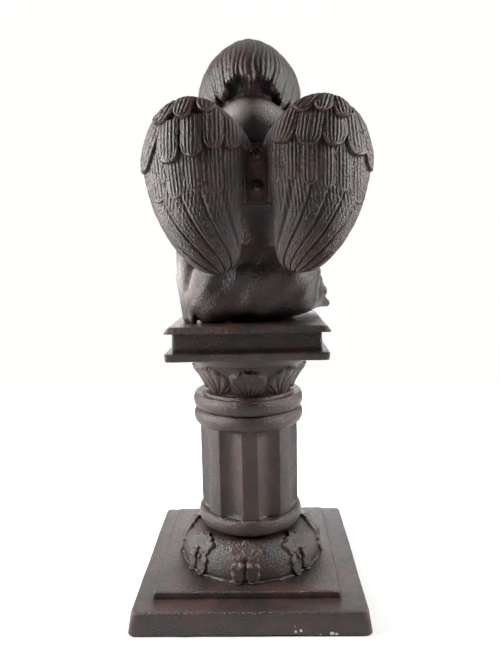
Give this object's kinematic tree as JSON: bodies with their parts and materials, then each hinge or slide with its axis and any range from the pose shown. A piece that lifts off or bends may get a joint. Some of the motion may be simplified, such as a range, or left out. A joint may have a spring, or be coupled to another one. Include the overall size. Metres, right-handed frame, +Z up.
{
  "type": "cast iron garden statue of a seated winged cherub on a column pedestal",
  "caption": "Dark cast iron garden statue: a winged cherub sits, head bowed, on a square plate above a short fluted column with a leafy foot and capital.",
  "frame": {"origin": "the middle of the foot's underside, on the surface that the statue stands on", "axes": "+Z up. The cherub faces -Y, its left hand is on the +X side, and the wings are at the back, +Y."},
  "size_m": [0.138, 0.133, 0.3293],
  "materials": {
    "painted_iron": "sand-cast iron under dark brown satin paint, rubbed to a redder brown on the edges",
    "screw_steel": "round-headed steel screws under the same dark paint"
  },
  "bodies": {
    "root": {"pedestal_foot": "painted_iron", "column_shaft": "painted_iron", "capital": "painted_iron", "cherub": "painted_iron", "wings": "painted_iron", "wing_screw_upper": "screw_steel", "wing_screw_lower": "screw_steel"}
  },
  "joints": []
}
